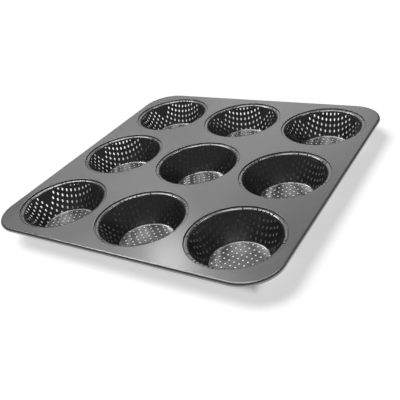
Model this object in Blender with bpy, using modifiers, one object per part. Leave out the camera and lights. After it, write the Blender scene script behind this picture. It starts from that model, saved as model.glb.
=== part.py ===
"""Burger bun pan: a flat steel plate with a wired, rolled edge and nine perforated cups seamed into it.

The pan stands on the cups' floors. +X is its width, +Y its depth from front to back and +Z is up; the
origin is on the surface that it stands on, under the middle of the pan. Lengths are in metres.
"""

import math

import bmesh
import bpy
from mathutils import Matrix, Vector

# Sheet and clearances
SHEET = 0.0006
SEAM_GAP = 0.0003

# Cup: the wall's straight line runs from the mouth radius, at the lip, to the floor radius, at the floor
MOUTH_RADIUS = 0.0522
FLOOR_RADIUS = 0.0343
CUP_DEPTH = 0.0340
FLOOR_FILLET = 0.0030
SHOULDER_RADIUS = 0.0018
LIP_WIDTH = 0.0022
LIP_DROP = 0.0012

# Perforation: the blank is punched on a square grid. The floor keeps that grid; on the wall the vents are
# drawn out lengthways and stand in two staggered rows, at these shares of the cup's depth
VENT_PITCH = 0.0069
VENT_WIDTH = 0.0022
VENT_EDGE = 0.0010
WALL_VENT_LENGTH = 0.0030
WALL_VENT_SHARES = (0.36, 0.68)

# Seam: the lip lies on a recessed ledge of the plate, and a fold of the cup's wall grips it from below
RECESS_GAP = 0.0004
RECESS_SLOPE = 0.0004
NECK_GAP = 0.0004
FOLD_GRIP = 0.0011

# Plate: webs between the recesses, borders outside them, and a rolled edge round a wire
WEB_ACROSS = 0.0116
WEB_DEEP = 0.0181
SIDE_BORDER = 0.0128
FRONT_BORDER = 0.0138
CORNER_RADIUS = 0.0430
WIRE_RADIUS = 0.0018

# Modelling
MERGE_DISTANCE = 0.00001

# Counts and angles
COLUMNS = ("left", "middle", "right")
ROWS = ("front", "middle", "back")
TURN_STEPS = 24
ARC_STEPS = 2
CORNER_STEPS = 6
ROLL_STEPS = 10
ROLL_START = math.radians(90)
ROLL_END = math.radians(-205)
QUARTER_TURN = math.radians(90)
FULL_TURN = math.radians(360)
FLAT_ANGLE = math.radians(1)

# How far each cup's punched grid is turned, in degrees, from the front row to the back
GRID_TURNS = ((26, 52, -12), (41, 33, 64), (13, 24, 5))

# Derived sizes, from the floor up
PLATE_TOP = CUP_DEPTH + SHEET
LIP_TOP = PLATE_TOP - LIP_DROP
LEDGE_TOP = LIP_TOP - SHEET - SEAM_GAP
FOLD_TOP = LEDGE_TOP - SHEET - SEAM_GAP
FOLD_FOOT = FOLD_TOP - 2 * SHEET

# Derived radii about a cup's axis
TAPER = math.atan2(MOUTH_RADIUS - FLOOR_RADIUS, LIP_TOP - SHEET)
LIP_RADIUS = MOUTH_RADIUS + LIP_WIDTH
RECESS_FOOT = LIP_RADIUS + RECESS_GAP
RECESS_RADIUS = RECESS_FOOT + RECESS_SLOPE

# Derived places in the plate
PITCH_X = 2 * RECESS_RADIUS + WEB_ACROSS
PITCH_Y = 2 * RECESS_RADIUS + WEB_DEEP
HALF_WIDTH = PITCH_X + RECESS_RADIUS + SIDE_BORDER
HALF_DEPTH = PITCH_Y + RECESS_RADIUS + FRONT_BORDER
ROLL_RADIUS = WIRE_RADIUS + SEAM_GAP + SHEET


def outer_wall_radius(height):
    """Radius of the cup's outer skin, on the straight part of its wall, at this height."""
    inner = FLOOR_RADIUS + (height - SHEET) * math.tan(TAPER)
    return inner + SHEET / math.cos(TAPER)


HOLE_RADIUS = outer_wall_radius(LEDGE_TOP) + NECK_GAP
FOLD_RADIUS = HOLE_RADIUS + FOLD_GRIP


def clear_scene():
    for obj in list(bpy.data.objects):
        bpy.data.objects.remove(obj, do_unlink=True)


def new_collection(name):
    collection = bpy.data.collections.new(name)
    bpy.context.scene.collection.children.link(collection)
    return collection


def coated_steel(name, colour, roughness, metallic):
    material = bpy.data.materials.new(name)
    material.use_nodes = True
    shader = material.node_tree.nodes["Principled BSDF"]
    shader.inputs["Base Color"].default_value = (*colour, 1)
    shader.inputs["Roughness"].default_value = roughness
    shader.inputs["Metallic"].default_value = metallic
    return material


def add_object(name, data, collection, material=None):
    obj = bpy.data.objects.new(name, data)
    collection.objects.link(obj)
    if material and not data.materials:
        data.materials.append(material)
    return obj


def mesh_from(bm, name):
    mesh = bpy.data.meshes.new(name)
    bm.to_mesh(mesh)
    bm.free()
    return mesh


def cup_places():
    """(name, centre in the plate, turn of the punched grid in radians) of each cup."""
    places = []
    for row, row_name in enumerate(ROWS):
        for column, column_name in enumerate(COLUMNS):
            centre = Vector(((column - 1) * PITCH_X, (row - 1) * PITCH_Y, 0))
            name = "cup_centre" if row == column == 1 else f"cup_{row_name}_{column_name}"
            places.append((name, centre, math.radians(GRID_TURNS[row][column])))
    return places


def fillet(before, corner, after, radius):
    """Points of the arc that rounds a corner of an outline, from its first straight to its second."""
    back = (before - corner).normalized()
    on = (after - corner).normalized()
    half = back.angle(on) / 2
    centre = corner + (back + on).normalized() * radius / math.sin(half)
    first = corner + back * radius / math.tan(half) - centre
    last = corner + on * radius / math.tan(half) - centre
    return [centre + first.slerp(last, step / ARC_STEPS) * radius for step in range(ARC_STEPS + 1)]


def cup_profile():
    """The cup's section, (radius, height), from the floor's top round the lip to the floor's underside."""
    wall_offset = SHEET / math.cos(TAPER) - SHEET * math.tan(TAPER)
    floor_middle = Vector((0, SHEET))
    floor_corner = Vector((FLOOR_RADIUS, SHEET))
    mouth_corner = Vector((MOUTH_RADIUS, LIP_TOP))
    lip_edge = Vector((LIP_RADIUS, LIP_TOP))
    inner = [floor_middle]
    inner += fillet(floor_middle, floor_corner, mouth_corner, FLOOR_FILLET)
    inner += fillet(floor_corner, mouth_corner, lip_edge, SHOULDER_RADIUS)
    inner += [lip_edge]

    under_edge = Vector((LIP_RADIUS, LIP_TOP - SHEET))
    under_corner = Vector((MOUTH_RADIUS + wall_offset, LIP_TOP - SHEET))
    foot_corner = Vector((outer_wall_radius(0), 0))
    foot_middle = Vector((0, 0))
    outer = [under_edge]
    outer += fillet(under_edge, under_corner, foot_corner, SHOULDER_RADIUS - SHEET)
    outer += [Vector((outer_wall_radius(FOLD_TOP), FOLD_TOP))]
    outer += [Vector((FOLD_RADIUS, FOLD_TOP)), Vector((FOLD_RADIUS, FOLD_FOOT))]
    outer += [Vector((outer_wall_radius(FOLD_FOOT), FOLD_FOOT))]
    outer += fillet(under_corner, foot_corner, foot_middle, FLOOR_FILLET + SHEET)
    outer += [foot_middle]
    return inner + outer


def cup_mesh():
    """The section as a chain of edges, which a Screw modifier turns into the cup."""
    bm = bmesh.new()
    points = [bm.verts.new((point.x, 0, point.y)) for point in cup_profile()]
    for first, second in zip(points, points[1:]):
        bm.edges.new((first, second))
    return mesh_from(bm, "cup_section")


def punch(bm, place, length=VENT_WIDTH):
    """A square punch through the sheet, along this place's Z axis and drawn out along its X axis."""
    drawn_out = Matrix.Diagonal((length / VENT_WIDTH, 1, 1, 1))
    bmesh.ops.create_cone(
        bm,
        cap_ends=True,
        segments=4,
        radius1=VENT_WIDTH / math.sqrt(2),
        radius2=VENT_WIDTH / math.sqrt(2),
        depth=4 * SHEET,
        matrix=place @ drawn_out @ Matrix.Rotation(QUARTER_TURN / 2, 4, "Z"),
    )


def floor_punches():
    """Punches on every second place of the floor's grid, as on a chessboard."""
    reach = FLOOR_RADIUS - FLOOR_FILLET * math.tan((QUARTER_TURN - TAPER) / 2)
    reach -= VENT_EDGE + VENT_WIDTH / math.sqrt(2)
    count = math.ceil(reach / VENT_PITCH) + 1
    bm = bmesh.new()
    for i in range(-count, count):
        for j in range(-count, count):
            centre = Vector((i + 1 / 2, j + 1 / 2, 0)) * VENT_PITCH
            if (i + j) % 2 or centre.length > reach:
                continue
            punch(bm, Matrix.Translation(centre + Vector((0, 0, SHEET / 2))))
    return mesh_from(bm, "floor_punches")


def wall_punches():
    """Two staggered rows of punches, each square to the middle of one flat of the wall."""
    flat_angle = FULL_TURN / TURN_STEPS
    upright = Matrix.Rotation(QUARTER_TURN + TAPER, 4, "Y")
    bm = bmesh.new()
    for row, share in enumerate(WALL_VENT_SHARES):
        height = share * CUP_DEPTH
        radius = outer_wall_radius(height) - SHEET / math.cos(TAPER) / 2
        spot = Vector((radius * math.cos(flat_angle / 2), 0, height))
        for flat in range(row, TURN_STEPS, 2):
            turn = Matrix.Rotation((flat + 1 / 2) * flat_angle, 4, "Z")
            punch(bm, turn @ Matrix.Translation(spot) @ upright, WALL_VENT_LENGTH)
    return mesh_from(bm, "wall_punches")


def cut_vents(cup, punches, cutters, turn=0):
    cutter = add_object(f"{punches.name}_{cup.name}", punches, cutters)
    cutter.location = cup.location
    cutter.rotation_euler.z = turn
    cutter.hide_render = True
    cutter.display_type = "WIRE"
    vents = cup.modifiers.new(punches.name, "BOOLEAN")
    vents.operation = "DIFFERENCE"
    vents.object = cutter


def make_cups(collection, cutters, material):
    section = cup_mesh()
    in_floor = floor_punches()
    in_wall = wall_punches()
    for name, centre, turn in cup_places():
        cup = add_object(name, section, collection, material)
        cup.location = centre
        screw = cup.modifiers.new("turned", "SCREW")
        screw.angle = FULL_TURN
        screw.steps = TURN_STEPS
        screw.render_steps = TURN_STEPS
        screw.use_merge_vertices = True
        screw.merge_threshold = MERGE_DISTANCE
        screw.use_smooth_shade = True
        flat_floor = cup.modifiers.new("flat_floor", "DECIMATE")
        flat_floor.decimate_type = "DISSOLVE"
        flat_floor.angle_limit = FLAT_ANGLE
        cut_vents(cup, in_floor, cutters, turn)
        cut_vents(cup, in_wall, cutters)


def corner_centre(point):
    """Centre of the pan's corner arc that this point of the plate's outline belongs to."""
    across = math.copysign(HALF_WIDTH - CORNER_RADIUS, point.x)
    deep = math.copysign(HALF_DEPTH - CORNER_RADIUS, point.y)
    return Vector((across, deep, 0))


def outline_points(inset, height):
    """The pan's rounded outline, drawn in by this much. Its points lie on the four corner arcs."""
    points = []
    for corner, (side, end) in enumerate(((1, -1), (1, 1), (-1, 1), (-1, -1))):
        centre = corner_centre(Vector((side, end, 0)))
        for step in range(CORNER_STEPS + 1):
            angle = (corner - 1 + step / CORNER_STEPS) * QUARTER_TURN
            direction = Vector((math.cos(angle), math.sin(angle), 0))
            points.append(centre + direction * (CORNER_RADIUS - inset) + Vector((0, 0, height)))
    return points


def closed_loop(bm, points):
    verts = [bm.verts.new(point) for point in points]
    return [bm.edges.new(pair) for pair in zip(verts, verts[1:] + verts[:1])]


def carry_on(bm, edges, centre_of, radius, height):
    """Extrudes a loop of edges and sets the new points at this radius and height about their centres."""
    made = bmesh.ops.extrude_edge_only(bm, edges=edges)["geom"]
    for vert in (item for item in made if isinstance(item, bmesh.types.BMVert)):
        centre = centre_of(vert.co)
        direction = (vert.co - centre) * Vector((1, 1, 0))
        place = centre + direction.normalized() * radius
        vert.co = (place.x, place.y, height)
    return [item for item in made if isinstance(item, bmesh.types.BMEdge)]


def recess_loops(bm):
    """A ring of edges in the plate's top round each recess, with the recess's centre."""
    loops = []
    for _, centre, _ in cup_places():
        middle = centre + Vector((0, 0, PLATE_TOP))
        points = []
        for step in range(TURN_STEPS):
            angle = FULL_TURN * step / TURN_STEPS
            points.append(middle + Vector((math.cos(angle), math.sin(angle), 0)) * RECESS_RADIUS)
        loops.append((centre, closed_loop(bm, points)))
    return loops


def sink_recess(bm, edges, centre):
    """The slope down to the ledge, and the ledge in to the hole's edge."""
    def middle(_):
        return centre
    edges = carry_on(bm, edges, middle, RECESS_FOOT, LEDGE_TOP)
    carry_on(bm, edges, middle, HOLE_RADIUS, LEDGE_TOP)


def roll_edge(bm, edges):
    """The plate's edge, rolled down and in under itself until only a slit is left."""
    for step in range(1, ROLL_STEPS + 1):
        angle = ROLL_START + (ROLL_END - ROLL_START) * step / ROLL_STEPS
        reach = CORNER_RADIUS - ROLL_RADIUS + ROLL_RADIUS * math.cos(angle)
        height = PLATE_TOP - ROLL_RADIUS + ROLL_RADIUS * math.sin(angle)
        edges = carry_on(bm, edges, corner_centre, reach, height)


def plate_skin():
    """The plate's upper skin, an open surface that faces up: flat field, recesses and rolled edge."""
    bm = bmesh.new()
    outline = closed_loop(bm, outline_points(ROLL_RADIUS, PLATE_TOP))
    recesses = recess_loops(bm)
    bmesh.ops.triangle_fill(bm, edges=list(bm.edges), use_beauty=True, normal=(0, 0, 1))
    for centre, edges in recesses:
        sink_recess(bm, edges, centre)
    roll_edge(bm, outline)
    bmesh.ops.recalc_face_normals(bm, faces=list(bm.faces))
    field = max(bm.faces, key=lambda face: face.calc_area())
    if field.normal.z < 0:
        bmesh.ops.reverse_faces(bm, faces=list(bm.faces))
    return mesh_from(bm, "top_plate")


def make_plate(collection, material):
    plate = add_object("top_plate", plate_skin(), collection, material)
    sheet = plate.modifiers.new("sheet", "SOLIDIFY")
    sheet.thickness = SHEET
    sheet.offset = -1
    sheet.use_even_offset = True


def make_rim_wire(collection, material):
    """The closed wire that stiffens the rolled edge."""
    curve = bpy.data.curves.new("rim_wire", "CURVE")
    curve.dimensions = "3D"
    curve.bevel_depth = WIRE_RADIUS
    curve.bevel_resolution = 2
    points = outline_points(ROLL_RADIUS, PLATE_TOP - ROLL_RADIUS)
    spline = curve.splines.new("POLY")
    spline.points.add(len(points) - 1)
    for spot, point in zip(spline.points, points):
        spot.co = (*point, 1)
    spline.use_cyclic_u = True
    add_object("rim_wire", curve, collection, material)


def main():
    clear_scene()
    pan = new_collection("burger_bun_pan")
    cutters = new_collection("punches")
    coating = coated_steel("non_stick_grey", (0.20, 0.20, 0.205), 0.38, 0.6)
    cup_coating = coated_steel("non_stick_dark", (0.06, 0.06, 0.063), 0.3, 0.5)
    bare_wire = coated_steel("steel_wire", (0.55, 0.55, 0.54), 0.35, 1.0)
    make_plate(pan, coating)
    make_rim_wire(pan, bare_wire)
    make_cups(pan, cutters, cup_coating)


main()
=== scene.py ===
# %% [markdown]
# # A perforated burger bun pan
#
# The pan is a flat plate of coated steel with a rolled edge, and nine round cups locked into it.
# Each cup starts as a flat blank that is punched full of holes and is then drawn into a deep form
# with a flat floor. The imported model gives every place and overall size. This script gives the pan
# its fine shapes and its finish, and sets up the light, the ground and the camera.

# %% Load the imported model
import math

import bmesh
import bpy
import numpy as np
from mathutils import Euler, Matrix, Vector


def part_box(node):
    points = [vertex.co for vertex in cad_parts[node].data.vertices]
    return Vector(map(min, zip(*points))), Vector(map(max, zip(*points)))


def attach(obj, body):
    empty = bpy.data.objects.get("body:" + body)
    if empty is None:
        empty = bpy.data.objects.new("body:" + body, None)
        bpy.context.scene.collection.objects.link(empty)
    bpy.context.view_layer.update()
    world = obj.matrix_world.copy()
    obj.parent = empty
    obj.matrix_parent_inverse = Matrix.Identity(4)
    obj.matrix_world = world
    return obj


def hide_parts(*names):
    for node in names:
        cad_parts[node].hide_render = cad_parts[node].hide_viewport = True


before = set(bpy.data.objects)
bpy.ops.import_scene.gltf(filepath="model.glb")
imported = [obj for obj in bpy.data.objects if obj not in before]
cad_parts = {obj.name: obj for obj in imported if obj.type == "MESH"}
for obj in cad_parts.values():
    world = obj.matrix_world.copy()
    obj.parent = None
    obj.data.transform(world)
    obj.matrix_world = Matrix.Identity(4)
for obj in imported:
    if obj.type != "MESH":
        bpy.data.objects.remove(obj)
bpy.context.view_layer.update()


def mm(metres):
    """A length in millimetres, rounded for printing."""
    return round(float(metres) * 1000, 2)


# %% [markdown]
# ## Sizes
#
# A piece's place and outer size are read from the node that it stands for, so they can't drift away
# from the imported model. A box says nothing of what is inside it, such as a wall's slope or a bend's
# radius. Those few sizes are driving dimensions, in metres, and everything else is worked out from
# them.

# %% Read the plate and the cups from the frame
plate_low, plate_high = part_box("top_plate")
CUP_NAMES = sorted(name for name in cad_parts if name.startswith("cup_"))
cup_low, cup_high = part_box(CUP_NAMES[0])
PLATE_TOP = plate_high.z
LIP_RADIUS = (cup_high.x - cup_low.x) / 2
LIP_TOP = cup_high.z


def cup_axis(name):
    """The point of the cup's axis that lies at ground level."""
    low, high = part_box(name)
    return Vector(((low.x + high.x) / 2, (low.y + high.y) / 2, 0))


print(len(CUP_NAMES), "cups, lip radius", mm(LIP_RADIUS), "mm, lip top", mm(LIP_TOP), "mm")

# %% [markdown]
# The wall's upper skin is a straight slope, from the floor's radius at the floor's level to the
# mouth's radius at the lip's level. A bend rounds the foot of the slope, and a wide shoulder bend
# leads from its top to the flat lip.

# %% The cup's section
SHEET = 0.0006
MOUTH_RADIUS = 0.0508
FLOOR_RADIUS = 0.0343
FLOOR_FILLET = 0.0036
SHOULDER_RADIUS = 0.0040
TAPER = math.atan2(MOUTH_RADIUS - FLOOR_RADIUS, LIP_TOP - SHEET)
WALL_TURN = math.pi / 2 - TAPER
LIP_START = MOUTH_RADIUS + SHOULDER_RADIUS * math.tan(WALL_TURN / 2)
print("the cup's wall leans out", round(math.degrees(TAPER), 1), "degrees from upright")
print("the lip is flat from radius", mm(LIP_START), "to", mm(LIP_RADIUS), "mm")

# %% [markdown]
# The lip lies on a sunk ledge of the plate, and the cup goes down through the hole in that ledge.
# The hole has to clear the cup's neck: the place where the under side of the shoulder's bend has
# come down to the ledge's level.

# %% The seam between a cup and the plate
SEAM_GAP = 0.0003
RECESS_GAP = 0.0009
NECK_GAP = 0.0004
LEDGE_TOP = LIP_TOP - SHEET - SEAM_GAP
RECESS_FOOT = LIP_RADIUS + RECESS_GAP
NECK_BEND = SHOULDER_RADIUS - SHEET
NECK_RADIUS = LIP_START - math.sqrt(NECK_BEND**2 - (NECK_BEND - SEAM_GAP) ** 2)
HOLE_RADIUS = NECK_RADIUS + NECK_GAP
print("the ledge goes from radius", mm(HOLE_RADIUS), "to", mm(RECESS_FOOT), "mm")


# %% [markdown]
# ## Small helpers
#
# A bmesh is where the operators work. When a form is ready it becomes a mesh on an object that
# stays at the origin, so that a pattern on Object coordinates stays where it is put. Every face is
# shaded smooth.

# %% From a bmesh to a piece that rides on the pan
def add_piece(name, mesh, material, slot, *nodes):
    piece = bpy.data.objects.new(name, mesh)
    bpy.context.scene.collection.objects.link(piece)
    mesh.materials.append(material)
    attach(piece, "root")
    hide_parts(*nodes)
    return piece


def smooth_mesh(name, bm):
    """Turns the bmesh into a mesh with smooth faces, and frees it."""
    for face in bm.faces:
        face.smooth = True
    mesh = bpy.data.meshes.new(name)
    bm.to_mesh(mesh)
    bm.free()
    return mesh


# %% [markdown]
# Operators hand back corner points, edges and faces in one list, and neighbours share corner points
# and edges. So one helper picks out a kind, and another takes each thing once. It keeps the order,
# which a set wouldn't.

# %% Pick out what an operator made
def of_kind(geometry, kind):
    return [item for item in geometry if isinstance(item, kind)]


def each_once(items):
    return list(dict.fromkeys(items))


def verts_of(faces):
    return each_once(vert for face in faces for vert in face.verts)


def edges_at(verts):
    return each_once(edge for vert in verts for edge in vert.link_edges)


# %% [markdown]
# A material's nodes are made and joined by a few helpers too. Object coordinates tell a node where
# on the pan it is, in metres, so a noise's scale is about the number of its waves in a metre.

# %% Build and join nodes
def new_material(name):
    """A material, its tree of nodes and its Principled shader."""
    material = bpy.data.materials.new(name)
    material.use_nodes = True
    return material, material.node_tree, material.node_tree.nodes["Principled BSDF"]


def set_inputs(node, values):
    for socket, value in values.items():
        node.inputs[socket].default_value = value


def object_place(tree):
    return tree.nodes.new("ShaderNodeTexCoord").outputs["Object"]


def noise(tree, place, scale, detail):
    texture = tree.nodes.new("ShaderNodeTexNoise")
    set_inputs(texture, {"Scale": scale, "Detail": detail})
    tree.links.new(place, texture.inputs["Vector"])
    return texture.outputs["Fac"]


# %% Spread a noise over a range
NOISE_LOW = 0.3
NOISE_HIGH = 0.7


def spread(tree, source, low, high):
    """Most of a noise lies between two middle values, which this takes to low and high."""
    span = tree.nodes.new("ShaderNodeMapRange")
    set_inputs(span, {"From Min": NOISE_LOW, "From Max": NOISE_HIGH, "To Min": low, "To Max": high})
    tree.links.new(source, span.inputs["Value"])
    return span.outputs["Result"]


# %% [markdown]
# ## The coating
#
# The pan has a grey non-stick coating, baked on. It is neither a paint nor a bare metal: fine metal
# flakes under a smooth clear film give a soft, wide gloss, so it looks pale where it mirrors a
# light and nearly black where it faces the dark side of the room. A Principled shader that is
# mostly metallic with a middle roughness does the same, and its coat is the clear film, which puts
# the small sharp highlights on the bends. Three noises keep it from looking like plastic: a fine
# one mottles the colour, a broad one the gloss, and a tiny bump gives the dry, slightly pebbled
# skin of a sprayed film.
#
# The cups' coating is darker than the plate's, and its film is stronger. The real cups wear the
# plate's coating, so their darker colour is painted shade, standing in for the shade deep inside
# them. In the photograph their walls are nearly black, and yet they have bright highlights on their
# bends.

# %% One function makes each coating
FLAKES = {"scale": 2600, "detail": 2}
CLOUDS = {"scale": 22, "detail": 4}
PEBBLES = {"scale": 1400, "detail": 3}
PEBBLE_HEIGHT = 0.00005
ROUGHNESS_SPREAD = 0.035
FILM_ROUGHNESS = 0.18


def baked_coating(name, dark, light, roughness, metallic, pebble, film_ior):
    material, tree, shader = new_material(name)
    place = object_place(tree)
    flakes = noise(tree, place, **FLAKES)
    clouds = noise(tree, place, **CLOUDS)
    colour = tree.nodes.new("ShaderNodeMix")
    colour.data_type = "RGBA"
    set_inputs(colour, {"A": (*dark, 1), "B": (*light, 1)})
    tree.links.new(spread(tree, flakes, 0, 1), colour.inputs["Factor"])
    tree.links.new(colour.outputs["Result"], shader.inputs["Base Color"])
    gloss = spread(tree, clouds, roughness - ROUGHNESS_SPREAD, roughness + ROUGHNESS_SPREAD)
    tree.links.new(gloss, shader.inputs["Roughness"])
    bump = tree.nodes.new("ShaderNodeBump")
    set_inputs(bump, {"Strength": pebble, "Distance": PEBBLE_HEIGHT})
    tree.links.new(noise(tree, place, **PEBBLES), bump.inputs["Height"])
    tree.links.new(bump.outputs["Normal"], shader.inputs["Normal"])
    set_inputs(shader, {"Metallic": metallic, "Coat Weight": 1})
    set_inputs(shader, {"Coat Roughness": FILM_ROUGHNESS, "Coat IOR": film_ior})
    return material


# %% The plate's coating and the cups'
plate_coating = baked_coating(
    "grey_coating",
    dark=(0.18, 0.18, 0.185),
    light=(0.28, 0.28, 0.285),
    roughness=0.36,
    metallic=0.75,
    pebble=0.25,
    film_ior=1.45,
)
# The cups' colours are darker than the plate's: painted shade for the inside of the cups.
shade_darkened_cup_coating = baked_coating(
    "shade_darkened_cup_coating",
    dark=(0.10, 0.10, 0.102),
    light=(0.20, 0.20, 0.204),
    roughness=0.34,
    metallic=0.95,
    pebble=0.35,
    film_ior=1.8,
)
print("coatings:", plate_coating.name, "and", shade_darkened_cup_coating.name)

# %% [markdown]
# ## A punched blank
#
# The real cup is punched while it is still flat, on a square grid, and drawn afterwards. That is
# why its holes stand in straight rows on the floor and in curved, stretched rows on the wall.
# Cutting some 250 holes in a finished cup with a Boolean would give round holes in the wrong rows,
# so this script does what the press does. One cell of the grid is a ring of faces bridged between
# a round hole and its square frame.

# %% One cell
GRID_PITCH = 0.0068
PUNCH_RADIUS = 0.00112
HOLE_SIDES = 12
FRAME_SIDES = 4


def cell(bm):
    """A square frame round a hole, both in twelve steps, joined by quads."""
    hole = bmesh.ops.create_circle(
        bm,
        segments=HOLE_SIDES,
        radius=PUNCH_RADIUS,
        matrix=Matrix.Rotation(math.pi / HOLE_SIDES, 4, "Z"),
    )
    hole_edges = edges_at(hole["verts"])
    corners = bmesh.ops.create_circle(
        bm,
        segments=FRAME_SIDES,
        radius=GRID_PITCH / math.sqrt(2),
        matrix=Matrix.Rotation(math.pi / FRAME_SIDES, 4, "Z"),
    )
    sides = edges_at(corners["verts"])
    bmesh.ops.subdivide_edges(bm, edges=sides, cuts=HOLE_SIDES // FRAME_SIDES - 1)
    frame_edges = [edge for edge in bm.edges if edge not in hole_edges]
    bmesh.ops.bridge_loops(bm, edges=hole_edges + frame_edges)


# %% A sheet of such cells
BLANK_CELLS = 22
WELD_DISTANCE = GRID_PITCH / 100


def repeat(bm, count, step):
    """Lays copies of everything in bm side by side, count in all, centred on the first place."""
    first = bm.verts[:] + bm.edges[:] + bm.faces[:]
    for place in range(1, count):
        copy = bmesh.ops.duplicate(bm, geom=first)["geom"]
        bmesh.ops.translate(bm, verts=of_kind(copy, bmesh.types.BMVert), vec=step * place)
    bmesh.ops.translate(bm, verts=bm.verts[:], vec=-step * (count - 1) / 2)


def punched_sheet():
    bm = bmesh.new()
    cell(bm)
    repeat(bm, BLANK_CELLS, Vector((GRID_PITCH, 0, 0)))
    repeat(bm, BLANK_CELLS, Vector((0, GRID_PITCH, 0)))
    bmesh.ops.remove_doubles(bm, verts=bm.verts[:], dist=WELD_DISTANCE)
    return bm


sheet = punched_sheet()
print("punched sheet:", len(sheet.faces), "faces")

# %% [markdown]
# ## The die
#
# Drawing the blank is a mapping: a point at some distance from the blank's middle ends up at some
# place on the cup's section. The section is walked from the floor's middle to the lip's edge as
# straights and arcs. Each step gives a radius, a height and a slope. On the wall the sheet is
# stretched lengthways, so a step along the blank is a longer step along the wall. The photograph
# gives that stretch: the rows on the wall are about 8 mm apart, against 6.8 mm on the floor.

# %% The legs of the section
WALL_STRETCH = 1.17
floor_run = FLOOR_RADIUS - FLOOR_FILLET * math.tan(WALL_TURN / 2)
bends_rise = (FLOOR_FILLET + SHOULDER_RADIUS) * (1 - math.cos(WALL_TURN))
wall_run = (LIP_TOP - SHEET - bends_rise) / math.sin(WALL_TURN)
# for each leg: its length, its slope at the start and at the end, and the sheet's stretch
LEGS = {
    "floor": (floor_run, 0, 0, 1),
    "fillet": (FLOOR_FILLET * WALL_TURN, 0, WALL_TURN, WALL_STRETCH),
    "wall": (wall_run, WALL_TURN, WALL_TURN, WALL_STRETCH),
    "shoulder": (SHOULDER_RADIUS * WALL_TURN, WALL_TURN, 0, WALL_STRETCH),
}
print("legs, mm:", {name: mm(leg[0]) for name, leg in LEGS.items()})

# %% Walk the section
WALK_STEP = 0.00005
BLANK, RADIUS, HEIGHT, SLOPE = range(4)


def walk_section():
    """Blank radius, cup radius, height and slope at each step along the cup's upper skin."""
    blank, radius, height, rows = 0.0, 0.0, SHEET, []
    for length, start, end, stretch in LEGS.values():
        steps = math.ceil(length / WALK_STEP)
        stride = length / steps
        for step in range(steps):
            rows.append((blank, radius, height, start + (end - start) * step / steps))
            slope = start + (end - start) * (step + 0.5) / steps
            blank += stride / stretch
            radius += stride * math.cos(slope)
            height += stride * math.sin(slope)
    rows.append((blank, radius, height, 0))
    rows.append((blank + (LIP_RADIUS - radius) / WALL_STRETCH, LIP_RADIUS, height, 0))
    return np.array(rows)


section = walk_section()
BLANK_RADIUS = section[-1, BLANK]
print("blank radius", mm(BLANK_RADIUS), "mm; it ends at height", mm(section[-1, HEIGHT]), "mm")

# %% Where the blank will bend
BEND_CUTS = 5


def bend_circles(bend):
    """The blank's radii where a bend begins and ends, and at even steps between."""
    ends = np.cumsum([length / stretch for length, _, _, stretch in LEGS.values()])
    leg = list(LEGS).index(bend)
    return np.linspace(ends[leg - 1], ends[leg], BEND_CUTS + 1)


FILLET_CIRCLES = bend_circles("fillet")
SHOULDER_CIRCLES = bend_circles("shoulder")
print("circles in the blank, mm:", [mm(radius) for radius in (*FILLET_CIRCLES, *SHOULDER_CIRCLES)])

# %% [markdown]
# ## From blank to cup
#
# Where the blank will bend it is scored first, with spokes and circles, so that the bend comes out
# round and not in the big facets of the grid. A plane can't cut a circle. So what will bend is
# unrolled, one half at a time, with the angle running along X and the distance from the middle
# along Y: there each circle is a straight line. It is rolled up again after the cuts. The last
# circle is the blank's own edge, and what lies beyond it goes.

# %% Slice some faces of the blank
BLANK_SIDES = 96
CUT_TOLERANCE = GRID_PITCH / 1000


def slice_faces(bm, faces, point, direction):
    """Cuts these faces along a plane and returns what they have become."""
    edges = each_once(edge for face in faces for edge in face.edges)
    cut = bmesh.ops.bisect_plane(
        bm,
        geom=verts_of(faces) + edges + faces,
        dist=CUT_TOLERANCE,
        plane_co=point,
        plane_no=direction,
    )
    return of_kind(cut["geom"], bmesh.types.BMFace)


def will_bend(face):
    """Whether any of the face lies in the fillet's ring, or in the shoulder's or beyond it."""
    distances = [vert.co.length for vert in face.verts]
    in_fillet = max(distances) > FILLET_CIRCLES[0] and min(distances) < FILLET_CIRCLES[-1]
    return in_fillet or max(distances) > SHOULDER_CIRCLES[0]


# %% Unroll half of the blank and roll it up again
def unroll(faces, side):
    """Lays out the half with Y above zero, side 1, or below it, side -1."""
    for vert in verts_of(faces):
        angle = side * math.atan2(max(side * vert.co.y, 0), vert.co.x)
        vert.co = (angle * BLANK_RADIUS, vert.co.xy.length, 0)


def roll_up(faces):
    for vert in verts_of(faces):
        angle = vert.co.x / BLANK_RADIUS
        vert.co = Vector((math.cos(angle), math.sin(angle), 0)) * vert.co.y


# %% Score the bends and cut the blank round
def delete_beyond(bm, distance):
    """Takes off the faces whose middle is further than this from the blank's."""
    beyond = [face for face in bm.faces if face.calc_center_median().length > distance]
    bmesh.ops.delete(bm, geom=beyond, context="FACES")


def score_blank(bm):
    delete_beyond(bm, BLANK_RADIUS + GRID_PITCH)
    bending = [face for face in bm.faces if will_bend(face)]
    for spoke in range(BLANK_SIDES // 2):
        angle = math.pi / 2 + 2 * math.pi * spoke / BLANK_SIDES
        bending = slice_faces(bm, bending, (0, 0, 0), (math.cos(angle), math.sin(angle), 0))
    halves = {
        side: [face for face in bending if face.calc_center_median().y * side > 0]
        for side in (1, -1)
    }
    for side, faces in halves.items():
        unroll(faces, side)
        for radius in (*FILLET_CIRCLES, *SHOULDER_CIRCLES, BLANK_RADIUS):
            faces = slice_faces(bm, faces, (0, radius, 0), (0, 1, 0))
        roll_up(faces)
    delete_beyond(bm, BLANK_RADIUS)


# %% [markdown]
# The field of holes isn't square: the punch leaves its four corners plain. Those are the smooth
# patches near the top of the wall. A hole is the weakest place in the sheet, so on the wall it is
# drawn out more than the sheet round it.

# %% Plug the corners of the punched field
FIELD_HALF_WIDTH = 0.0665
FIELD_CORNER = 0.0345


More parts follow.
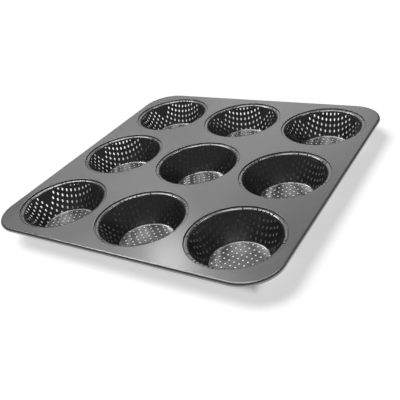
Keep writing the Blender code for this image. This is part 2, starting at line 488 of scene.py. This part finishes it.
def cell_centre(point, shift):
    """The middle of the grid's cell that a point of the shifted sheet lies in."""
    across, deep = (
        (math.floor((point[axis] - shift[axis]) / GRID_PITCH) + 1 / 2) * GRID_PITCH + shift[axis]
        for axis in (0, 1)
    )
    return Vector((across, deep, 0))


def plug_corners(bm, shift):
    """Fills the holes that lie outside the punched field."""
    rims = []
    for edge in bm.edges:
        if not edge.is_boundary:
            continue
        centre = cell_centre(edge.verts[0].co, shift)
        near, far = sorted((abs(centre.x), abs(centre.y)))
        if near > FIELD_CORNER or far > FIELD_HALF_WIDTH:
            rims.append(edge)
    bmesh.ops.holes_fill(bm, edges=rims, sides=HOLE_SIDES)


# %% Draw out the holes that will stand on the wall
HOLE_STRETCH = 1.5
HOLE_REACH = PUNCH_RADIUS * 1.1


def stretch_holes(bm, shift):
    """Moves the points of a hole's rim away from its middle, along the way up the wall."""
    for vert in bm.verts:
        direction = vert.co.normalized()
        from_centre = vert.co - cell_centre(vert.co, shift)
        if vert.co.length > FILLET_CIRCLES[-1] and from_centre.length < HOLE_REACH:
            vert.co += direction * from_centre.dot(direction) * (HOLE_STRETCH - 1)


# %% [markdown]
# The blank gets its thickness while it is still flat, and the die maps both skins at once. The die
# knows the true direction of the cup's skin at every point, so the smooth shading takes it from
# there. The punched edges stay sharp: a face that turns well away from the skin keeps its own
# direction.

# %% Draw the blank through the die
SKIN_LIMIT = 0.7


def draw(bm):
    """Maps the flat blank to the cup and returns the die's own direction at each corner point."""
    facing = {}
    distances = [vert.co.xy.length for vert in bm.verts]
    columns = (section[:, column] for column in (RADIUS, HEIGHT, SLOPE))
    drawn = (np.interp(distances, section[:, BLANK], column) for column in columns)
    for vert, radius, height, slope in zip(bm.verts, *drawn):
        direction = vert.co.xy.normalized()
        normal = Vector((*(-direction * math.sin(slope)), math.cos(slope)))
        facing[vert] = normal
        vert.co = Vector((*(direction * radius), height)) + normal * vert.co.z
    return facing


def corner_normals(bm, facing):
    """The die's direction on the two skins, and each small face's own on the punched edges."""
    normals = []
    for face in bm.faces:
        for vert in face.verts:
            side = face.normal.dot(facing[vert])
            on_skin = abs(side) > SKIN_LIMIT
            normals.append(facing[vert] * math.copysign(1, side) if on_skin else face.normal.copy())
    return normals


# %% [markdown]
# Last, the cup is locked in the plate: the wall is folded out under the plate's ledge. From below
# that shows as a flat bead round the wall. Its profile is a circle whose inner side is drawn in to
# the wall, spun round the cup.

# %% Fold the wall out under the plate
FOLD_GRIP = 0.0011
FOLD_SIDES = 12


def wall_middle(height):
    """The radius half-way through the wall's sheet at this height."""
    return FLOOR_RADIUS + (height - SHEET) * math.tan(TAPER) + SHEET / 2 / math.cos(TAPER)


def fold_bead(bm, facing):
    """A flat bead, two sheets thick, that grips the plate's ledge from below and locks the cup."""
    nose = Vector((HOLE_RADIUS + FOLD_GRIP - SHEET, 0, LEDGE_TOP - 2 * SHEET - SEAM_GAP))
    upright = Matrix.Translation(nose) @ Matrix.Rotation(math.pi / 2, 4, "X")
    circle = bmesh.ops.create_circle(bm, segments=FOLD_SIDES, radius=SHEET, matrix=upright)
    profile = circle["verts"]
    for vert in profile:
        if vert.co.x < nose.x - SHEET / FOLD_SIDES:
            vert.co.x = wall_middle(vert.co.z)
    bmesh.ops.spin(
        bm,
        geom=profile + edges_at(profile),
        cent=(0, 0, 0),
        axis=(0, 0, 1),
        angle=2 * math.pi,
        steps=BLANK_SIDES,
        use_merge=True,
    )
    for vert in bm.verts:
        if vert not in facing:
            around = Vector((*(vert.co.xy.normalized() * nose.x), nose.z))
            facing[vert] = (vert.co - around).normalized()


# %% [markdown]
# Every blank lay turned and a little shifted in the press, so no two cups have the same rows. In
# the photograph that can be read from the floors and walls of five cups. The other four can't be
# read there, and get values of the same kind.

# %% Make one cup
# for each blank: its turn in degrees, and its shift across and deep in metres
BLANK_PLACES = {
    "cup_front_left": (26.7, -0.0028, -0.0017),
    "cup_front_middle": (52, 0.0012, -0.0008),
    "cup_front_right": (-10.9, -0.0012, -0.0005),
    "cup_middle_left": (41.3, -0.0013, 0.0028),
    "cup_centre": (33, 0.0005, 0.0016),
    "cup_middle_right": (64, -0.0020, 0.0010),
    "cup_back_left": (13, 0.0024, 0.0003),
    "cup_back_middle": (24.4, -0.0027, -0.0029),
    "cup_back_right": (6.4, -0.0038, 0.0026),
}


def drawn_cup(name):
    turn, *shift = BLANK_PLACES[name]
    bm = sheet.copy()
    bmesh.ops.translate(bm, verts=bm.verts[:], vec=(*shift, 0))
    plug_corners(bm, shift)
    stretch_holes(bm, shift)
    score_blank(bm)
    turned = Matrix.Rotation(math.radians(turn), 3, "Z")
    bmesh.ops.rotate(bm, verts=bm.verts[:], matrix=turned)
    under = bmesh.ops.extrude_face_region(bm, geom=bm.faces[:], use_keep_orig=True)["geom"]
    bmesh.ops.translate(bm, verts=of_kind(under, bmesh.types.BMVert), vec=(0, 0, -SHEET))
    facing = draw(bm)
    fold_bead(bm, facing)
    bmesh.ops.recalc_face_normals(bm, faces=bm.faces[:])
    bmesh.ops.translate(bm, verts=bm.verts[:], vec=cup_axis(name))
    normals = corner_normals(bm, facing)
    mesh = smooth_mesh(f"{name}_drawn", bm)
    mesh.normals_split_custom_set(normals)
    return mesh


# %% Make all nine
cups = []
for name in CUP_NAMES:
    mesh = drawn_cup(name)
    cups.append(add_piece(f"{name}_drawn", mesh, shade_darkened_cup_coating, "coated_steel_dark", name))
    print(cups[-1].name, len(mesh.polygons), "faces")

# %% [markdown]
# ## The plate
#
# The plate is one sheet. Round each hole it is pressed down into a ledge for the cup's lip, and its
# outer edge is rolled down and in round a wire. Its upper skin is drawn as loops of edges: nine
# rings and one rounded outline, with the flat field filled between them. Each loop is then extruded
# along its own section. A narrow flat ring comes first at each bend, so the smooth shading of a
# bend can't spread over the field.

# %% Sections of the recess and of the roll
CORNER_RADIUS = 0.0430
WIRE_RADIUS = 0.0018
ROLL_RADIUS = WIRE_RADIUS + SEAM_GAP + SHEET
ROLL_END = math.radians(-205)
BEND_RADIUS = 0.0004
FLAT_MARGIN = 0.0004
BEND_STEPS = 5
ROLL_STEPS = 24


def arc(centre, radius, start, end, steps):
    """Points of an arc in a section, (distance, height)."""
    angles = [start + (end - start) * step / steps for step in range(steps + 1)]
    return [centre + Vector((math.cos(angle), math.sin(angle))) * radius for angle in angles]


def recess_section():
    """From the flat field down the joggle to the hole's edge, as (radius, height)."""
    up = math.pi / 2
    over = Vector((RECESS_FOOT + BEND_RADIUS, PLATE_TOP - BEND_RADIUS))
    foot = Vector((RECESS_FOOT - BEND_RADIUS, LEDGE_TOP + BEND_RADIUS))
    points = arc(over, BEND_RADIUS, up, 2 * up, BEND_STEPS)
    points += arc(foot, BEND_RADIUS, 0, -up, BEND_STEPS)
    return points + [Vector((HOLE_RADIUS, LEDGE_TOP))]


def roll_section():
    """From the flat field round the wire, as (distance from the corner's centre, height)."""
    centre = Vector((CORNER_RADIUS - ROLL_RADIUS, PLATE_TOP - ROLL_RADIUS))
    return arc(centre, ROLL_RADIUS, math.pi / 2, ROLL_END, ROLL_STEPS)


print("points in the sections:", len(recess_section()), "recess,", len(roll_section()), "roll")

# %% Loops that follow a section
HALF_WIDTH = (plate_high.x - plate_low.x) / 2
HALF_DEPTH = (plate_high.y - plate_low.y) / 2


def corner_centre(point):
    across = math.copysign(HALF_WIDTH - CORNER_RADIUS, point.x)
    deep = math.copysign(HALF_DEPTH - CORNER_RADIUS, point.y)
    return Vector((across, deep, 0))


def follow(bm, edges, section_points, centre_of):
    """Extrudes a loop of edges from point to point of a section about the loop's centre."""
    for point in section_points:
        made = bmesh.ops.extrude_edge_only(bm, edges=edges)["geom"]
        for vert in of_kind(made, bmesh.types.BMVert):
            centre = centre_of(vert.co)
            direction = ((vert.co - centre) * Vector((1, 1, 0))).normalized()
            place = centre + direction * point.x
            vert.co = (place.x, place.y, point.y)
        edges = of_kind(made, bmesh.types.BMEdge)


# %% The plate's outline
CORNER_STEPS = 24


def rounded_outline(bm, inset):
    """A rectangle with rounded corners, this far in from the plate's edge, as a loop of edges."""
    size = Matrix.Diagonal((HALF_WIDTH - inset, HALF_DEPTH - inset, 1, 1))
    lift = Matrix.Translation((0, 0, PLATE_TOP))
    made = bmesh.ops.create_grid(bm, x_segments=1, y_segments=1, size=1, matrix=lift @ size)
    bmesh.ops.bevel(
        bm,
        geom=made["verts"],
        offset=CORNER_RADIUS - inset,
        offset_type="OFFSET",
        affect="VERTICES",
        segments=CORNER_STEPS,
        profile=0.5,
        material=-1,
    )
    bmesh.ops.delete(bm, geom=bm.faces[:], context="FACES_ONLY")
    return bm.edges[:]


# %% Build the plate's skin
RING_STEPS = 128
RING_RADIUS = RECESS_FOOT + BEND_RADIUS + FLAT_MARGIN


def plate_mesh():
    bm = bmesh.new()
    outline = rounded_outline(bm, ROLL_RADIUS + FLAT_MARGIN)
    rings = []
    for name in CUP_NAMES:
        middle = cup_axis(name)
        lift = Matrix.Translation(middle + Vector((0, 0, PLATE_TOP)))
        ring = bmesh.ops.create_circle(bm, segments=RING_STEPS, radius=RING_RADIUS, matrix=lift)
        rings.append((middle, edges_at(ring["verts"])))
    bmesh.ops.triangle_fill(bm, edges=bm.edges[:], use_beauty=True, normal=(0, 0, 1))
    for middle, edges in rings:
        follow(bm, edges, recess_section(), lambda _, centre=middle: centre)
    follow(bm, outline, roll_section(), corner_centre)
    bmesh.ops.recalc_face_normals(bm, faces=bm.faces[:])
    if max(bm.faces, key=lambda face: face.calc_area()).normal.z < 0:
        bmesh.ops.reverse_faces(bm, faces=bm.faces[:])
    return smooth_mesh("plate_sheet", bm)


# %% Give the plate the sheet's thickness
plate = add_piece("plate_sheet", plate_mesh(), plate_coating, "coated_steel", "top_plate")
thickness = plate.modifiers.new("sheet", "SOLIDIFY")
thickness.thickness = SHEET
thickness.offset = -1
thickness.use_even_offset = True
print(plate.name, len(plate.data.polygons), "faces before it is thickened")

# %% [markdown]
# ## The wire in the rolled edge
#
# It can only be seen through the slit under the roll. The same helper that rolled the plate's edge
# carries a loop of edges once round a circle, and the last loop is merged with the first.

# %% Bend the wire
WIRE_SIDES = 16
STREAKS = {"scale": 900, "detail": 3}
STREAK_ROUGHNESS = (0.25, 0.45)
BARE_STEEL = (0.55, 0.55, 0.54, 1)


def bare_steel(name):
    material, tree, shader = new_material(name)
    set_inputs(shader, {"Metallic": 1, "Base Color": BARE_STEEL})
    streaks = noise(tree, object_place(tree), **STREAKS)
    tree.links.new(spread(tree, streaks, *STREAK_ROUGHNESS), shader.inputs["Roughness"])
    return material


def wire_mesh():
    bm = bmesh.new()
    outline = rounded_outline(bm, ROLL_RADIUS - WIRE_RADIUS)
    bmesh.ops.translate(bm, verts=bm.verts[:], vec=(0, 0, -ROLL_RADIUS))
    middle = Vector((CORNER_RADIUS - ROLL_RADIUS, PLATE_TOP - ROLL_RADIUS))
    around = arc(middle, WIRE_RADIUS, 0, 2 * math.pi, WIRE_SIDES)
    follow(bm, outline, around[1:], corner_centre)
    bmesh.ops.remove_doubles(bm, verts=bm.verts[:], dist=WIRE_RADIUS / 100)
    bmesh.ops.recalc_face_normals(bm, faces=bm.faces[:])
    return smooth_mesh("edge_wire", bm)


wire = add_piece("edge_wire", wire_mesh(), bare_steel("wire_steel"), "wire", "rim_wire")
print(wire.name, len(wire.data.polygons), "faces")

# %% [markdown]
# ## Ground and light
#
# The pan stands on a plain white ground. White paper in a studio is lit from all sides, and here it
# glows a little by itself instead, which keeps the room dark enough for the pan's black walls. No
# such light would reach the ground under the plate, so the glow fades out there. Under the cups'
# floors the paper glows again, because the holes in the floors are white in the photograph.

# %% Nodes for the ground's glow
def vector_step(tree, operation, source, *values):
    step = tree.nodes.new("ShaderNodeVectorMath")
    step.operation = operation
    tree.links.new(source, step.inputs[0])
    for number, value in enumerate(values, start=1):
        step.inputs[number].default_value = value
    return step.outputs["Value" if operation == "LENGTH" else "Vector"]


def fade(tree, source, low_at, full_at, full):
    """A soft change from one distance, where To Min holds, to another with the full value."""
    ramp = tree.nodes.new("ShaderNodeMapRange")
    ramp.interpolation_type = "SMOOTHSTEP"
    set_inputs(ramp, {"From Min": low_at, "From Max": full_at, "To Max": full})
    tree.links.new(source, ramp.inputs["Value"])
    return ramp


# %% How strongly the ground glows
GLOW = 0.55
GLOW_UNDER_FLOORS = 0.62
GLOW_UNDER_PLATE = 0.02
# the glow fades between these two places, which lie in from the plate's sides
SHADE_EDGE = -0.025
SHADE_DEEP = -0.045
CUP_PITCH = cup_axis("cup_back_right") - cup_axis("cup_centre")


def outside_plate(tree, place):
    """How far a point lies outside the plate's sides; inside them it is below zero."""
    folded = vector_step(tree, "ABSOLUTE", place)
    beyond = vector_step(tree, "SUBTRACT", folded, (HALF_WIDTH, HALF_DEPTH, 0))
    sides = tree.nodes.new("ShaderNodeSeparateXYZ")
    tree.links.new(beyond, sides.inputs["Vector"])
    outside = tree.nodes.new("ShaderNodeMath")
    outside.operation = "MAXIMUM"
    tree.links.new(sides.outputs["X"], outside.inputs[0])
    tree.links.new(sides.outputs["Y"], outside.inputs[1])
    return outside.outputs["Value"]


def from_nearest_cup(tree, place):
    """How far a point is from the nearest cup's axis, on a grid that repeats at the cups' pitch."""
    half = (CUP_PITCH.x / 2, CUP_PITCH.y / 2, 1)
    wrapped = vector_step(tree, "WRAP", place, half, tuple(-value for value in half))
    return vector_step(tree, "LENGTH", vector_step(tree, "MULTIPLY", wrapped, (1, 1, 0)))


def glow_strength(tree):
    place = object_place(tree)
    near_cup = from_nearest_cup(tree, place)
    inner_floor = FLOOR_RADIUS - FLOOR_FILLET
    under = fade(tree, near_cup, FLOOR_RADIUS, inner_floor, GLOW_UNDER_FLOORS)
    set_inputs(under, {"To Min": GLOW_UNDER_PLATE})
    glow = fade(tree, outside_plate(tree, place), SHADE_DEEP, SHADE_EDGE, GLOW)
    tree.links.new(under.outputs["Result"], glow.inputs["To Min"])
    return glow.outputs["Result"]


print("the cups stand", mm(CUP_PITCH.x), "by", mm(CUP_PITCH.y), "mm apart")

# %% The ground
GROUND_SIZE = 40.0
PAPER = (0.9, 0.9, 0.9, 1)
PAPER_ROUGHNESS = 0.9
PAPER_GLOSS = 0.1


def ground_material():
    material, tree, shader = new_material("white_ground")
    set_inputs(shader, {"Base Color": PAPER, "Roughness": PAPER_ROUGHNESS})
    set_inputs(shader, {"Specular IOR Level": PAPER_GLOSS, "Emission Color": (1, 1, 1, 1)})
    tree.links.new(glow_strength(tree), shader.inputs["Emission Strength"])
    return material


ground_mesh = bmesh.new()
bmesh.ops.create_grid(ground_mesh, x_segments=1, y_segments=1, size=GROUND_SIZE / 2)
ground = bpy.data.objects.new("ground", bpy.data.meshes.new("ground"))
ground_mesh.to_mesh(ground.data)
ground_mesh.free()
ground.data.materials.append(ground_material())
bpy.context.scene.collection.objects.link(ground)
print("the ground is", GROUND_SIZE, "m wide")

# %% [markdown]
# No one light was found that gives both the photograph's highlights and its shadow, so the pan and
# the ground are lit apart. One far and wide light from the front left is for the ground alone: it
# throws the short, soft shadow to the right. The others light the pan and leave the ground out,
# through Blender's light linking, so they can stand where the metal needs them, high above the pan
# and low behind it, without a second shadow. The two small high ones put bright arcs on the left
# and right bends of the cups. The sheen light is for the plate alone, because the cups' film would
# make a hot spot of it, and two weaker and wider ones do the same for the cups' lips. Light linking
# wants a collection that says which objects a light reaches, or passes by.

# %% What each light reaches
def reach(name, things, state):
    """A collection for light linking that takes in these things alone, or leaves them out."""
    group = bpy.data.collections.new(name)
    for thing in things:
        group.objects.link(thing)
    for entry in group.collection_objects:
        entry.light_linking.link_state = state
    return group


ground_only = reach("ground_only", [ground], "INCLUDE")
all_but_ground = reach("all_but_ground", [ground], "EXCLUDE")
plate_only = reach("plate_only", [plate], "INCLUDE")
cups_only = reach("cups_only", cups, "INCLUDE")


# %% Hang a light
def hang_light(name, data, receivers, azimuth, elevation, distance):
    """Puts a lamp at these angles, in degrees, and turns it to the pan."""
    light = bpy.data.objects.new(name, data)
    place = Vector((distance, 0, 0))
    place.rotate(Euler((0, -math.radians(elevation), math.radians(azimuth))))
    light.location = place
    light.rotation_euler = (-place).to_track_quat("-Z", "Y").to_euler()
    light.light_linking.receiver_collection = receivers
    bpy.context.scene.collection.objects.link(light)
    print(name, "light at", [mm(value) for value in place], "mm")


def even_light(name, receivers, azimuth, elevation, distance, width, strength):
    """A far light: equally strong all over the ground, with soft edges to its shadow."""
    data = bpy.data.lights.new(name, "SUN")
    data.angle = math.radians(width)
    data.energy = strength
    hang_light(name, data, receivers, azimuth, elevation, distance)


def soft_light(name, receivers, azimuth, elevation, distance, size, power):
    data = bpy.data.lights.new(name, "AREA")
    data.shape = "RECTANGLE"
    data.size, data.size_y = size
    data.energy = power
    hang_light(name, data, receivers, azimuth, elevation, distance)


# %% The light for the ground
even_light("key", ground_only, azimuth=220, elevation=67, distance=1.8, width=30, strength=1.55)

# %% The lights for the pan
# for each: what it reaches, azimuth, elevation, distance, its two sides in metres, power in watts
SOFT_LIGHTS = {
    "overhead": (all_but_ground, 150, 88, 2.0, (0.6, 0.6), 7),
    "high_back": (all_but_ground, 150, 60, 2.0, (1.0, 1.0), 9),
    "high_left": (all_but_ground, 166, 50, 2.0, (0.35, 0.35), 4.5),
    "high_right": (all_but_ground, 60, 65, 2.0, (0.3, 0.3), 3.5),
    "right_back": (all_but_ground, 110, 30, 1.8, (0.8, 0.8), 0.7),
    "low_back": (all_but_ground, 125, 25, 1.8, (1.6, 0.5), 1.4),
    "sheen": (plate_only, 134.3, 41, 1.8, (0.15, 0.15), 0.75),
    "lip_sheen": (cups_only, 128, 36, 1.8, (0.3, 0.3), 0.4),
    "lip_glint": (cups_only, 100, 40, 1.8, (0.35, 0.35), 0.6),
}
for name, placing in SOFT_LIGHTS.items():
    soft_light(name, *placing)

# %% The room's own faint light
ROOM_STRENGTH = 0.08
world = bpy.data.worlds.new("studio")
world.use_nodes = True
set_inputs(world.node_tree.nodes["Background"], {"Color": (1, 1, 1, 1), "Strength": ROOM_STRENGTH})
bpy.context.scene.world = world
print("room light", ROOM_STRENGTH)

# %% [markdown]
# ## Camera
#
# The photograph was taken from the front right corner of the pan, tipped to one side, and its view
# is about 38 degrees wide. The camera's place comes from fitting the plate's outline and the rings
# of the cups. The tones are Standard ones, so a white ground comes out white.

# %% Place the camera
CAMERA_FROM_PLATE = Vector((0.3881, -0.5357, 0.3474))
CAMERA_TURN = math.radians(36.49)
CAMERA_TILT = math.radians(31.42)
CAMERA_ROLL = math.radians(-11.66)
LENS = 51.77
FILM_WIDTH = 36
camera_data = bpy.data.cameras.new("camera")
camera_data.lens = LENS
camera_data.sensor_width = FILM_WIDTH
camera = bpy.data.objects.new("camera", camera_data)
bpy.context.scene.collection.objects.link(camera)
aim = Matrix.Rotation(CAMERA_TURN, 4, "Z") @ Matrix.Rotation(math.pi / 2 - CAMERA_TILT, 4, "X")
aim = aim @ Matrix.Rotation(CAMERA_ROLL, 4, "Z")
camera.matrix_world = Matrix.Translation(CAMERA_FROM_PLATE + Vector((0, 0, PLATE_TOP))) @ aim
bpy.context.scene.camera = camera
bpy.context.scene.view_settings.view_transform = "Standard"
print("camera", mm(CAMERA_FROM_PLATE.length), "mm from the middle of the plate")
